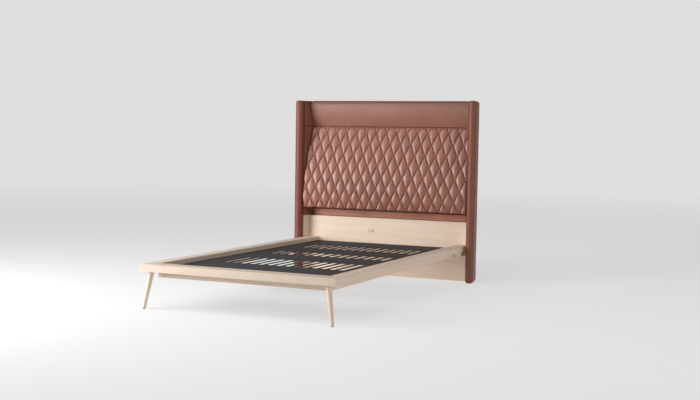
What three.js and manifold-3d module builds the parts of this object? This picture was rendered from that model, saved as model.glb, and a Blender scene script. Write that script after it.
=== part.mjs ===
// Upholstered bed: a low oak frame with a slotted deck, and a tall leather headboard with two wings.
// Millimetres, +Z up, foot end at -Y, headboard at +Y, origin under the middle of the whole bed.
import * as THREE from "three";
import { mergeVertices } from "three/addons/utils/BufferGeometryUtils.js";
import Module from "manifold-3d";

const wasm = await Module();
wasm.setup();

// Driving dimensions of the bed
const recessWidth = 1081;
const recessLength = 2035;
const railTop = 257.5;
const railHeight = 43.5;
const sideRailWidth = 74.5;
const frontRailWidth = 90;
const deckDrop = 27.5;
const deckThickness = 4;
const headboardHeight = 1250;
const wingThickness = 56;
const wingFlare = THREE.MathUtils.degToRad(10);
const wingForward = 115;
const wingRailClearance = 2;
const fitGap = 0.3;
const cutOverrun = 1;

// Frame sizes
const apronThickness = 40;
const frontApronThickness = 45;
const apronHeight = 37.2;
const frontApronSetback = 85;
const sideApronUnderRail = 7.5;
const battenWidth = 60;
const battenHeight = 12;
const splineLength = 60;
const splineReach = 30;
const splineThickness = 6;
const splineBelowTop = 16;

// Deck sizes: the joints share out the recess, and each window's middle shares out its own panel
const frontJointShare = 0.4486;
const rearJointShare = 0.6732;
const deckSideGap = 1;
const frontWindowShare = 0.6736;
const middleWindowShare = 0.4902;
const rearWindowShare = 0.3654;
const frontWindowLength = 320;
const middleWindowLength = 185;
const rearWindowLength = 245;
const slotCount = 14;
const slotWidth = 40;
const slotBar = 19;

// Leg sizes
const legTopRadius = 17;
const legFootRadius = 10.5;
const legTopInsetX = 57;
const legTopInsetY = 35;
const legFootInsetX = 21;
const legFootInsetY = 12;
const legOverLength = 40;
const legGlideRadius = 8;
const legGlideHeight = 3;
const studRadius = 4;
const studClearance = 0.3;
const studInRail = 15;
const studInLeg = 26;

// Bearer and bolt sizes: a block under each side rail's end, bolted to the rail and the wood panel
const bearerLength = 115;
const bearerWidth = 44;
const bearerHeight = 30;
const bearerInset = 12;
const bearerBevel = 14;
const bearerCounterbore = 6;
const railBoltOffset = 76;
const boltRadius = 4;
const boltHeadRadius = 7.5;
const boltHeadHeight = 5;
const boltHeadClearance = 1.5;
const boltInRail = 30;
const boltInBearer = 42;
const boltClearance = 0.3;

// Headboard sizes
const woodPanelHeight = 412;
const woodPanelThickness = 18;
const panelFloorGap = 2;
const boardBehindWood = 43;
const boardThickness = 15;
const boardBottom = 330;
const boardTopDrop = 50;
const backCoverThickness = 3;
const backCoverBottom = 40;
const battenBarHeight = 80;
const crossBarBottom = 20;
const crossBarHeight = 90;
const railPadThickness = 7.5;
const seamBelowTop = 184;
const seamGroove = 2;
const bandSideGap = 2;
const bandRound = 32;
const bandLean = 52;
const bandFoot = 6;
const bandBulge = 5;
const bandDrawIn = 3;
const bandDrawInRun = 14;

// Wing sizes
const wingEdgeRound = 18;
const wingRearRound = 40;
const wingFloorGap = 2;
const wingCrease = 24;
const coreThickness = 32;
const coreFront = 4;
const coreBackWall = 14;
const coreTopWall = 26;
const liningThickness = 6;
const wingGlideRadius = 14;
const wingGlideHeight = 4;
const wingGlideFront = 18;
const wingGlideSpan = 80;

// Quilted pad: diamond pitch and height, and the pad's thickness down its face
const diamondWidth = 80;
const diamondHeight = 158;
const firstPeakBelowSeam = 45;
const quiltAboveWood = 62;
const quiltSideGap = 3;
const quiltCrown = 9;
const quiltTopThickness = 8;
const quiltFullThickness = 126;
const quiltFootThickness = 119;
const quiltSwellShare = 0.85;
const quiltSwellPower = 1.54;
const quiltFootShare = 0.86;
const quiltRoundness = 0.4;
const quiltSeamCrownShare = 2 / 3;
const quiltHemCrownShare = -1 / 3;
const quiltEdgeCrownShare = -1 / 4;

// Name plate, left blank
const plateWidth = 46;
const plateHeight = 24;
const plateThickness = 4;
const plateOffset = -117;
const plateCentreHeight = 322;

// Places worked out from the sizes
const railBottom = railTop - railHeight;
const bearerTop = railBottom - fitGap;
const deckTop = railTop - deckDrop;
const deckBottom = deckTop - deckThickness;
const seamHeight = headboardHeight - seamBelowTop;
const quiltBottom = woodPanelHeight + quiltAboveWood;
const recessHalf = recessWidth / 2;
const frameHalf = recessHalf + sideRailWidth;
const wingRadius = wingThickness / 2;
const headboardBehindWood = boardBehindWood + boardThickness + fitGap + backCoverThickness;
const overallLength = frontRailWidth + recessLength + headboardBehindWood;
const footY = -overallLength / 2;
const recessFrontY = footY + frontRailWidth;
const frontJointY = recessFrontY + recessLength * frontJointShare;
const rearJointY = recessFrontY + recessLength * rearJointShare;
const woodFaceY = recessFrontY + recessLength;
const boardFrontY = woodFaceY + boardBehindWood;
const boardBackY = boardFrontY + boardThickness;
const backY = woodFaceY + headboardBehindWood;
const noseY = woodFaceY - wingForward;
const wingCentreY = noseY + wingRadius;
const flareRun = Math.tan(wingFlare);
const innerTangentY = wingCentreY - wingRadius * Math.sin(wingFlare);
const innerTangentX = frameHalf + wingRailClearance + (woodFaceY - innerTangentY) * flareRun;
const wingCentreX = innerTangentX + wingRadius * Math.cos(wingFlare);

// Faces round a curve, a bolt, a pin and a leg
const curveSteps = 8;
const boltSides = 16;
const pinSides = 20;
const roundSides = 28;
const edgeSteps = 4;

// Materials
const oak = new THREE.MeshStandardMaterial({ color: 0xd9c3ab, roughness: 0.55 });
const leather = new THREE.MeshStandardMaterial({ color: 0x8f6150, roughness: 0.42 });
const plywood = new THREE.MeshStandardMaterial({ color: 0xc9a981, roughness: 0.7 });
const deckPaint = new THREE.MeshStandardMaterial({ color: 0x3c3c3e, roughness: 0.7 });
const steel = new THREE.MeshStandardMaterial({ color: 0x6c5d52, roughness: 0.4, metalness: 0.8 });
const brass = new THREE.MeshStandardMaterial({ color: 0xb59a63, roughness: 0.35, metalness: 1 });
const nylon = new THREE.MeshStandardMaterial({ color: 0x2c2b2a, roughness: 0.6 });
const cloth = new THREE.MeshStandardMaterial({ color: 0x3a3431, roughness: 0.95 });

const bed = new THREE.Group();

function addMesh(name, geometry, material, place = [0, 0, 0]) {
  const mesh = new THREE.Mesh(geometry, material);
  mesh.name = name;
  mesh.position.set(...place);
  bed.add(mesh);
  return mesh;
}

// A box from its lowest corner and its size
function boxAt(x, y, z, width, depth, height) {
  return new THREE.BoxGeometry(width, depth, height).translate(x + width / 2, y + depth / 2, z + height / 2);
}

// An upright cylinder from the middle of its lower face
function pinAt(x, y, z, radius, height) {
  const pin = new THREE.CylinderGeometry(radius, radius, height, pinSides);
  return pin.rotateX(Math.PI / 2).translate(x, y, z + height / 2);
}

// An outline in plan, pulled up to a height
function slabAt(points, bottom, height) {
  const outline = new THREE.Shape(points.map(([x, y]) => new THREE.Vector2(x, y)));
  return new THREE.ExtrudeGeometry(outline, { depth: height, bevelEnabled: false }).translate(0, 0, bottom);
}

function arcPoints(centreX, centreY, radius, from, to, steps = curveSteps) {
  return Array.from({ length: steps + 1 }, (_, i) => {
    const angle = from + ((to - from) * i) / steps;
    return [centreX + radius * Math.cos(angle), centreY + radius * Math.sin(angle)];
  });
}

function solidOf(geometry) {
  const bare = geometry.clone();
  bare.deleteAttribute("normal");
  bare.deleteAttribute("uv");
  const merged = mergeVertices(bare, 1e-3);
  return new wasm.Manifold(
    new wasm.Mesh({
      numProp: 3,
      vertProperties: new Float32Array(merged.attributes.position.array),
      triVerts: new Uint32Array(merged.index.array),
    }),
  );
}

function geometryOf(solid) {
  const made = solid.getMesh();
  const geometry = new THREE.BufferGeometry();
  geometry.setAttribute("position", new THREE.BufferAttribute(made.vertProperties, 3));
  geometry.setIndex(new THREE.BufferAttribute(made.triVerts, 1));
  const faceted = geometry.toNonIndexed();
  faceted.computeVertexNormals();
  return faceted;
}

function joinOf(first, second) {
  return geometryOf(solidOf(first).add(solidOf(second)));
}

function cutFrom(geometry, cutters) {
  return geometryOf(cutters.reduce((solid, cutter) => solid.subtract(solidOf(cutter)), solidOf(geometry)));
}

// Half the clear width between the wings at a place along the bed
function wingInnerHalf(y) {
  return innerTangentX - (y - innerTangentY) * flareRun;
}

// Closed surface from rings of points: each ring is one section, and the ends are filled in
function loftOf(sections) {
  const sectionOf = (ring) => ring.map(([, y, z]) => new THREE.Vector2(y, z));
  const clockwise = THREE.ShapeUtils.isClockWise(sectionOf(sections[0]));
  const rings = clockwise ? sections.map((ring) => [...ring].reverse()) : sections;
  const count = rings[0].length;
  const faces = [];
  const last = (rings.length - 1) * count;
  for (const [a, b, c] of THREE.ShapeUtils.triangulateShape(sectionOf(rings[0]), [])) {
    faces.push(a, c, b);
    faces.push(last + a, last + b, last + c);
  }
  for (let ring = 0; ring < rings.length - 1; ring++) {
    for (let i = 0; i < count; i++) {
      const a = ring * count + i;
      const b = ring * count + ((i + 1) % count);
      faces.push(a, b, b + count);
      faces.push(a, b + count, a + count);
    }
  }
  const geometry = new THREE.BufferGeometry();
  geometry.setAttribute("position", new THREE.Float32BufferAttribute(rings.flat().flat(), 3));
  geometry.setIndex(faces);
  geometry.computeVertexNormals();
  return geometry;
}

// A piece that fills the width between the wings: its section is given along the bed and upwards
function betweenWings(section, gap = fitGap) {
  const end = (side) => section.map(([y, z]) => [side * (wingInnerHalf(y) - gap), y, z]);
  return loftOf([end(-1), end(1)]);
}

function rectangleSection(fromY, toY, bottom, top) {
  return [[fromY, bottom], [toY, bottom], [toY, top], [fromY, top]];
}

// Side rails and front rail meet on the diagonal from the outer to the inner corner
function mitrePoint(side, along, across) {
  const run = Math.hypot(sideRailWidth, frontRailWidth);
  const inward = [-sideRailWidth / run, frontRailWidth / run];
  const square = [frontRailWidth / run, sideRailWidth / run];
  const x = frameHalf - sideRailWidth / 2 + inward[0] * along + square[0] * across;
  const y = footY + frontRailWidth / 2 + inward[1] * along + square[1] * across;
  return [side * x, y];
}

function splineOutline(side, extra) {
  const half = splineLength / 2 + extra;
  const reach = splineReach / 2 + extra;
  return [
    mitrePoint(side, -half, -reach),
    mitrePoint(side, half, -reach),
    mitrePoint(side, half, reach),
    mitrePoint(side, -half, reach),
  ];
}

function splineSlab(side, extra) {
  const bottom = railTop - splineBelowTop - splineThickness - extra;
  return slabAt(splineOutline(side, extra), bottom, splineThickness + 2 * extra);
}

function legTopPlace(side) {
  return [side * (frameHalf - legTopInsetX), footY + legTopInsetY];
}

function addRails() {
  const gap = fitGap / 2;
  const studHole = (side) => {
    const [x, y] = legTopPlace(side);
    return pinAt(x, y, railBottom - cutOverrun, studRadius + studClearance, studInRail + 2 * cutOverrun);
  };
  const front = slabAt(
    [
      [-frameHalf + gap, footY],
      [frameHalf - gap, footY],
      [recessHalf - gap, recessFrontY],
      [-recessHalf + gap, recessFrontY],
    ],
    railBottom,
    railHeight,
  );
  const cuts = [-1, 1].flatMap((side) => [splineSlab(side, fitGap), studHole(side)]);
  addMesh("front_rail", cutFrom(front, cuts), oak);
  for (const [side, label] of [[-1, "left"], [1, "right"]]) {
    const rail = slabAt(
      [
        [side * frameHalf, footY + gap],
        [side * frameHalf, woodFaceY - fitGap],
        [side * recessHalf, woodFaceY - fitGap],
        [side * recessHalf, recessFrontY + gap],
      ],
      railBottom,
      railHeight,
    );
    const hole = pinAt(bearerMiddle(side), woodFaceY - railBoltOffset, railBottom - cutOverrun,
      boltRadius + boltClearance, boltInRail + 2 * cutOverrun);
    addMesh(`side_rail_${label}`, cutFrom(rail, [splineSlab(side, fitGap), hole]), oak);
    addMesh(`mitre_spline_${label}`, splineSlab(side, 0), plywood);
  }
}

function bearerMiddle(side) {
  return side * (frameHalf - bearerInset - bearerWidth / 2);
}

// Head and shank of a bolt, with the shank pointing up from the origin
function boltGeometry(shank) {
  const profile = [
    [0, -boltHeadHeight],
    [boltHeadRadius, -boltHeadHeight],
    [boltHeadRadius, 0],
    [boltRadius, 0],
    [boltRadius, shank],
    [0, shank],
  ];
  const lathe = new THREE.LatheGeometry(profile.map(([r, z]) => new THREE.Vector2(r, z)), boltSides);
  return lathe.rotateX(Math.PI / 2);
}

// A hole along the bed for the bolt between the wood panel and the bearer, from one place to another
function panelBoltHole(side, fromY, toY) {
  const radius = boltRadius + boltClearance;
  const hole = new THREE.CylinderGeometry(radius, radius, toY - fromY, pinSides);
  return hole.translate(bearerMiddle(side), (fromY + toY) / 2, bearerTop - bearerHeight / 2);
}

function addBearers() {
  const back = woodFaceY - fitGap;
  const bottom = bearerTop - bearerHeight;
  const seat = bottom + bearerCounterbore;
  for (const [side, label] of [[-1, "left"], [1, "right"]]) {
    const middle = bearerMiddle(side);
    const outline = [
      [back, bottom],
      [back, bearerTop],
      [back - bearerLength, bearerTop],
      [back - bearerLength, bottom + bearerBevel],
      [back - bearerLength + bearerBevel, bottom],
    ];
    const ends = [middle - bearerWidth / 2, middle + bearerWidth / 2];
    const block = loftOf(ends.map((x) => outline.map(([y, z]) => [x, y, z])));
    const boltY = woodFaceY - railBoltOffset;
    const cuts = [
      pinAt(middle, boltY, bottom - cutOverrun, boltRadius + boltClearance, bearerHeight + 2 * cutOverrun),
      pinAt(middle, boltY, bottom - cutOverrun, boltHeadRadius + boltHeadClearance,
        bearerCounterbore + cutOverrun),
      panelBoltHole(side, back - boltInBearer - cutOverrun, back + cutOverrun),
    ];
    addMesh(`rail_bearer_${label}`, cutFrom(block, cuts), oak);
    const headTop = seat - fitGap;
    addMesh(`rail_bolt_${label}`, boltGeometry(railBottom + boltInRail - fitGap - headTop), steel,
      [middle, boltY, headTop]);
    const headFront = woodFaceY + woodPanelThickness + fitGap;
    const panelBolt = addMesh(`panel_bolt_${label}`, boltGeometry(headFront - back + boltInBearer), steel,
      [middle, headFront, bearerTop - bearerHeight / 2]);
    panelBolt.rotation.x = Math.PI / 2;
  }
}

// A deck panel between two joints: where it and the window in it start and end
function deckPanel(front, rear, windowShare, windowLength) {
  const middle = front + (rear - front) * windowShare;
  return {
    panel: [front + fitGap, rear - fitGap],
    window: [middle - windowLength / 2, middle + windowLength / 2],
  };
}

const deckPanels = {
  front: deckPanel(recessFrontY, frontJointY, frontWindowShare, frontWindowLength),
  middle: deckPanel(frontJointY, rearJointY, middleWindowShare, middleWindowLength),
  rear: deckPanel(rearJointY, woodFaceY, rearWindowShare, rearWindowLength),
};

// Each apron is tucked under its rail, and inside the recess it rises to carry the deck's edge
function addAprons() {
  const half = recessHalf + sideApronUnderRail;
  const bottom = railBottom - fitGap - apronHeight;
  const ledgeHeight = deckBottom - fitGap - bottom;
  const ledgeHalf = recessHalf - fitGap;
  const frontY = footY + frontApronSetback;
  const ledgeFront = recessFrontY + fitGap;
  const sideFront = frontY + frontApronThickness + fitGap;
  const rearY = woodFaceY - fitGap - apronThickness;
  const front = boxAt(-half, frontY, bottom, 2 * half, frontApronThickness, apronHeight);
  const frontLedge = boxAt(-ledgeHalf, ledgeFront, bottom, 2 * ledgeHalf,
    frontY + frontApronThickness - ledgeFront, ledgeHeight);
  addMesh("apron_front", joinOf(front, frontLedge), oak);
  const rearHalf = Math.min(half, bearerMiddle(1) - bearerWidth / 2 - fitGap);
  const rear = boxAt(-rearHalf, rearY, bottom, 2 * rearHalf, apronThickness, apronHeight);
  const rearLedge = boxAt(-ledgeHalf, rearY, bottom, 2 * ledgeHalf, apronThickness, ledgeHeight);
  addMesh("apron_rear", joinOf(rear, rearLedge), oak);
  const sideLength = rearY - fitGap - sideFront;
  const innerX = half - apronThickness;
  for (const [side, label] of [[-1, "left"], [1, "right"]]) {
    const apronX = side < 0 ? -half : innerX;
    const ledgeX = side < 0 ? -ledgeHalf : innerX;
    const apron = boxAt(apronX, sideFront, bottom, apronThickness, sideLength, apronHeight);
    const ledge = boxAt(ledgeX, sideFront, bottom, ledgeHalf - innerX, sideLength, ledgeHeight);
    addMesh(`apron_${label}`, joinOf(apron, ledge), oak);
  }
  const battenHalf = half - apronThickness - fitGap;
  const battenBottom = deckBottom - fitGap - battenHeight;
  const middles = {
    foot: (sideFront + deckPanels.front.window[0]) / 2,
    front: frontJointY,
    middle: rearJointY,
    head: (deckPanels.rear.window[1] + rearY) / 2,
  };
  for (const [label, y] of Object.entries(middles)) {
    addMesh(`cross_batten_${label}`,
      boxAt(-battenHalf, y - battenWidth / 2, battenBottom, 2 * battenHalf, battenWidth, battenHeight), oak);
  }
}

function addDeck() {
  const half = recessHalf - deckSideGap;
  const pitch = slotWidth + slotBar;
  for (const [label, { panel, window }] of Object.entries(deckPanels)) {
    const board = boxAt(-half, panel[0], deckBottom, 2 * half, panel[1] - panel[0], deckThickness);
    const slots = Array.from({ length: slotCount }, (_, i) => {
      const x = (i - (slotCount - 1) / 2) * pitch;
      return boxAt(x - slotWidth / 2, window[0], deckBottom - cutOverrun, slotWidth,
        window[1] - window[0], deckThickness + 2 * cutOverrun);
    });
    addMesh(`deck_panel_${label}`, cutFrom(board, slots), deckPaint);
  }
}

// Round tapered legs, splayed outwards on the diagonal, cut level under the rail and above the glide
function addLegs() {
  for (const [side, label] of [[-1, "left"], [1, "right"]]) {
    const [topX, topY] = legTopPlace(side);
    const top = new THREE.Vector3(topX, topY, railBottom - fitGap);
    const foot = new THREE.Vector3(side * (frameHalf - legFootInsetX), footY + legFootInsetY, 0);
    const axis = top.clone().sub(foot);
    const length = axis.length();
    const taper = (legTopRadius - legFootRadius) / length;
    const upperRadius = legTopRadius + taper * legOverLength;
    const lowerRadius = legFootRadius - taper * legOverLength;
    const coneLength = length + 2 * legOverLength;
    const cone = new THREE.CylinderGeometry(upperRadius, lowerRadius, coneLength, roundSides);
    const upright = new THREE.Vector3(0, 1, 0);
    const turn = new THREE.Quaternion().setFromUnitVectors(upright, axis.clone().normalize());
    cone.applyQuaternion(turn);
    cone.translate(...foot.clone().add(top).multiplyScalar(1 / 2));
    const reach = legTopInsetX + legOverLength;
    const level = legGlideHeight;
    const slab = boxAt(topX - reach, topY - reach, level, 2 * reach, 2 * reach, railBottom - fitGap - level);
    const studHole = studRadius + studClearance;
    const stud = pinAt(topX, topY, railBottom - studInLeg, studHole, studInLeg + cutOverrun);
    const leg = solidOf(cone).intersect(solidOf(slab)).subtract(solidOf(stud));
    addMesh(`leg_${label}`, geometryOf(leg), oak);
    const studLength = studInLeg + studInRail - fitGap;
    addMesh(`leg_stud_${label}`,
      pinAt(topX, topY, railBottom - studInLeg + fitGap, studRadius, studLength), steel);
    const share = level / (railBottom - fitGap);
    const glidePlace = foot.clone().lerp(top, share);
    const glide = pinAt(glidePlace.x, glidePlace.y, 0, legGlideRadius, level - fitGap);
    addMesh(`leg_glide_${label}`, glide, nylon);
  }
}

// Wing section in its own plan: x outwards through the padding, y backwards from the middle of the nose
function wingOutline(side) {
  const rearAt = (x) => (backY - wingCentreY) / Math.cos(wingFlare) - x * flareRun;
  const cornerRun = wingRearRound / Math.tan((Math.PI / 2 + wingFlare) / 2);
  const cornerY = rearAt(wingRadius) - cornerRun;
  const points = [
    ...arcPoints(0, 0, wingRadius, 0, -Math.PI, 2 * curveSteps),
    [-wingRadius, rearAt(-wingRadius)],
    ...arcPoints(wingRadius - wingRearRound, cornerY, wingRearRound, Math.PI / 2 - wingFlare, 0),
  ];
  return points.map(([x, y]) => [side * x, y]);
}

function wingMesh(side, name, geometry, material) {
  const mesh = addMesh(name, geometry, material, [side * wingCentreX, wingCentreY, 0]);
  mesh.rotation.z = side * wingFlare;
}

// A box in the wing's plan, given from the outer side inwards and from the nose backwards
function wingBox(side, fromX, toX, fromY, toY, bottom, top) {
  const low = Math.min(side * fromX, side * toX);
  return boxAt(low, fromY, bottom, Math.abs(toX - fromX), toY - fromY, top - bottom);
}

function addWings() {
  const rear = (backY - wingCentreY) / Math.cos(wingFlare) - wingRadius * flareRun;
  const liningFront = wingCrease;
  const notch = liningThickness + fitGap;
  const liningTop = headboardHeight - wingEdgeRound;
  const inner = -wingRadius;
  for (const [side, label] of [[-1, "left"], [1, "right"]]) {
    const outline = new THREE.Shape(wingOutline(side).map(([x, y]) => new THREE.Vector2(x, y)));
    const body = new THREE.ExtrudeGeometry(outline, {
      depth: headboardHeight - wingFloorGap - 2 * wingEdgeRound,
      bevelThickness: wingEdgeRound,
      bevelSize: wingEdgeRound,
      bevelOffset: -wingEdgeRound,
      bevelSegments: edgeSteps,
    }).translate(0, 0, wingFloorGap + wingEdgeRound);
    const coreHalf = coreThickness / 2;
    const coreBack = rear - coreBackWall;
    const coreTop = headboardHeight - coreTopWall;
    const cavity = wingBox(side, coreHalf + fitGap, -coreHalf - fitGap, -coreFront - fitGap,
      coreBack + fitGap, -cutOverrun, coreTop + fitGap);
    const notchBox = wingBox(side, inner + notch, inner - wingEdgeRound, liningFront,
      rear + wingThickness, -cutOverrun, liningTop);
    wingMesh(side, `wing_cover_${label}`, cutFrom(body, [cavity, notchBox]), leather);
    const coreBottom = wingGlideHeight + fitGap;
    wingMesh(side, `wing_core_${label}`,
      wingBox(side, coreHalf, -coreHalf, -coreFront, coreBack, coreBottom, coreTop), plywood);
    const liningPieces = [
      ["wing_wood_return", panelFloorGap, woodPanelHeight, oak],
      ["wing_lining", woodPanelHeight + fitGap, seamHeight - seamGroove / 2, leather],
      ["wing_lining_top", seamHeight + seamGroove / 2, liningTop - fitGap, leather],
    ];
    for (const [name, bottom, top, material] of liningPieces) {
      wingMesh(side, `${name}_${label}`, wingBox(side, inner, inner + liningThickness,
        liningFront + fitGap, rear, bottom, top), material);
    }
    for (const [place, y] of [["front", wingGlideFront], ["rear", wingGlideFront + wingGlideSpan]]) {
      const glide = pinAt(0, y, 0, wingGlideRadius, wingGlideHeight);
      wingMesh(side, `wing_glide_${place}_${label}`, glide, nylon);
    }
  }
}

// Leather band: a leaning face that bulges a little, a round top, and a lip over the board behind it
function bandSection(drawIn) {
  const bottom = seamHeight + seamGroove / 2;
  const top = headboardHeight;
  const boardTop = top - boardTopDrop + fitGap;
  const footFront = boardFrontY - bandFoot;
  const topFront = footFront - bandLean;
  const roundCentre = [topFront + bandRound, top - bandRound];
  const face = Array.from({ length: curveSteps }, (_, i) => {
    const share = i / curveSteps;
    const bulge = bandBulge * Math.sin(Math.PI * share) ** (1 / 2);
    const lean = bandLean * share;
    return [footFront - lean - bulge + drawIn * Math.sin((Math.PI * share) / 2), bottom
      + (roundCentre[1] - bottom) * share];
  });
  const round = arcPoints(roundCentre[0] + drawIn, roundCentre[1], bandRound, Math.PI, Math.PI / 2,
    curveSteps / 2).map(([y, z]) => [y, z - drawIn * (z > roundCentre[1] ? 1 : 0)]);
  const rearRound = arcPoints(backY - bandRound / 2, top - bandRound / 2 - drawIn, bandRound / 2,
    Math.PI / 2, 0, curveSteps / 4);
  return [
    ...face,
    ...round,
    ...rearRound,
    [backY, boardTop],
    [boardFrontY - fitGap, boardTop],
    [boardFrontY - fitGap, bottom],
  ];
}

function addBand() {
  const stations = [
    [-1, bandDrawIn, 0],
    [-1, 0, bandDrawInRun],
    [1, 0, bandDrawInRun],
    [1, bandDrawIn, 0],
  ];
  const rings = stations.map(([side, drawIn, inset]) =>
    bandSection(drawIn).map(([y, z]) => [side * (wingInnerHalf(y) - bandSideGap - inset), y, z]),
  );
  addMesh("top_band", loftOf(rings), leather);
}

// Thickness of the quilted pad in front of the board, from the seam down to its foot
function quiltThickness(drop, depth) {
  const share = drop / depth;
  const swell = 1 - (1 - Math.min(share / quiltSwellShare, 1)) ** quiltSwellPower;
  const fall = Math.max(0, (share - quiltFootShare) / (1 - quiltFootShare)) ** 2;
  return quiltTopThickness + (quiltFullThickness - quiltTopThickness) * swell
    - (quiltFullThickness - quiltFootThickness) * fall;
}

// Quilted pad: a grid on the diamonds' quarter lines, so that every channel runs along grid edges
function quiltGeometry() {
  const top = seamHeight - seamGroove / 2;
  const depth = top - quiltBottom;
  const firstRow = top - firstPeakBelowSeam;
  const stepX = diamondWidth / 4;
  const stepZ = diamondHeight / 4;
  const rowCount = Math.floor((firstRow - quiltBottom) / stepZ);
  const columnHalf = Math.floor((wingInnerHalf(boardFrontY) - quiltSideGap - stepX / 4) / stepX);
  const rows = [[top, null], [top - firstPeakBelowSeam / 3, null]];
  for (let j = 0; j <= rowCount; j++) rows.push([firstRow - j * stepZ, j]);
  rows.push([quiltBottom, null]);
  const crownAt = (i, j) => {
    const across = Math.sin((Math.PI * (i + j)) / 4) ** 2;
    const along = Math.sin((Math.PI * (i - j)) / 4) ** 2;
    return (across * along) ** quiltRoundness;
  };
  const points = [];
  const columns = 2 * columnHalf + 3;
  rows.forEach(([z, j], rowIndex) => {
    const base = quiltThickness(top - z, depth);
    for (let c = 0; c < columns; c++) {
      const i = c - columnHalf - 1 + 2;
      const isEdge = c === 0 || c === columns - 1;
      let crown = j === null ? 0 : crownAt(i, j);
      if (rowIndex === 1) crown = quiltSeamCrownShare;
      if (rowIndex === rows.length - 1) crown = quiltHemCrownShare;
      if (isEdge) crown = Math.min(crown, quiltEdgeCrownShare);
      const y = boardFrontY - base - (rowIndex === 0 ? 0 : quiltCrown * crown);
      const side = c < columns / 2 ? -1 : 1;
      const x = isEdge ? side * (wingInnerHalf(y) - quiltSideGap) : (c - columnHalf - 1) * stepX;
      points.push([x, y, z]);
    }
  });
  const faces = [];
  const at = (row, column) => row * columns + column;
  for (let row = 0; row < rows.length - 1; row++) {
    for (let c = 0; c < columns - 1; c++) {
      const a = at(row, c);
      const b = at(row, c + 1);
      const d = at(row + 1, c);
      const e = at(row + 1, c + 1);
      const i = c - columnHalf - 1 + 2;
      const j = rows[row][1] ?? 0;
      if ((((i - j) % 2) + 2) % 2 === 0) faces.push(a, d, e, a, e, b);
      else faces.push(a, d, b, b, d, e);
    }
  }
  const back = boardFrontY - fitGap;
  const backX = wingInnerHalf(back) - quiltSideGap;
  const backStart = points.length;
  points.push([-backX, back, top], [backX, back, top]);
  points.push([backX, back, quiltBottom], [-backX, back, quiltBottom]);
  faces.push(backStart, backStart + 1, backStart + 2, backStart, backStart + 2, backStart + 3);
  const lastRow = rows.length - 1;
  const edges = [
    [Array.from({ length: columns }, (_, c) => at(0, c)), backStart, backStart + 1],
    [rows.map((_, row) => at(row, columns - 1)), backStart + 1, backStart + 2],
    [Array.from({ length: columns }, (_, c) => at(lastRow, columns - 1 - c)), backStart + 2, backStart + 3],
    [rows.map((_, row) => at(lastRow - row, 0)), backStart + 3, backStart],
  ];
  for (const [edge, from, to] of edges) {
    const half = Math.floor(edge.length / 2);
    for (let k = 0; k < edge.length - 1; k++) {
      if (k === half) faces.push(edge[k], to, from);
      faces.push(edge[k], edge[k + 1], k < half ? from : to);
    }
  }
  const geometry = new THREE.BufferGeometry();
  geometry.setAttribute("position", new THREE.Float32BufferAttribute(points.flat(), 3));
  geometry.setIndex(faces);
  geometry.computeVertexNormals();
  return geometry;
}

function addHeadboard() {
  const board = rectangleSection(boardFrontY, boardBackY, boardBottom, headboardHeight - boardTopDrop);
  addMesh("headboard_board", betweenWings(board), plywood);
  const woodBackY = woodFaceY + woodPanelThickness;
  const wood = rectangleSection(woodFaceY, woodBackY, panelFloorGap, woodPanelHeight);
  const panelHoles = [-1, 1].map((side) =>
    panelBoltHole(side, woodFaceY - cutOverrun, woodBackY + cutOverrun));
  addMesh("wood_panel", cutFrom(betweenWings(wood), panelHoles), oak);
  const batten = rectangleSection(woodBackY + fitGap, boardFrontY - fitGap,
    woodPanelHeight - battenBarHeight, woodPanelHeight - fitGap);
  addMesh("joining_batten", betweenWings(batten), plywood);
  const barTop = crossBarBottom + crossBarHeight;
  const bar = rectangleSection(woodBackY + fitGap, boardBackY, crossBarBottom, barTop);
  addMesh("cross_bar", betweenWings(bar), plywood);
  const coverTop = headboardHeight - boardTopDrop;
  const cover = rectangleSection(boardBackY + fitGap, backY, backCoverBottom, coverTop);
  addMesh("back_cover", betweenWings(cover), cloth);
  const railPad = rectangleSection(boardFrontY - railPadThickness, boardFrontY - fitGap,
    woodPanelHeight + fitGap, quiltBottom - fitGap);
  addMesh("leather_rail", betweenWings(railPad), leather);
  const plate = new THREE.CylinderGeometry(1, 1, plateThickness, roundSides);
  plate.scale(plateWidth / 2, 1, plateHeight / 2);
  addMesh("blank_plate", plate, brass, [plateOffset, woodFaceY - fitGap - plateThickness / 2,
    plateCentreHeight]);
}

addRails();
addBearers();
addAprons();
addDeck();
addLegs();
addWings();
addBand();
addMesh("quilted_panel", quiltGeometry(), leather);
addHeadboard();

export default bed;
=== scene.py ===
# Upholstered bed: a pale oak frame with a slotted deck, and a winged headboard in brown leather with
# a diamond-quilted pad. Metres, +Z up, foot end at -Y, headboard at +Y, floor at z = 0.
import math

import bpy
import numpy as np
from mathutils import Matrix, Vector


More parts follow.
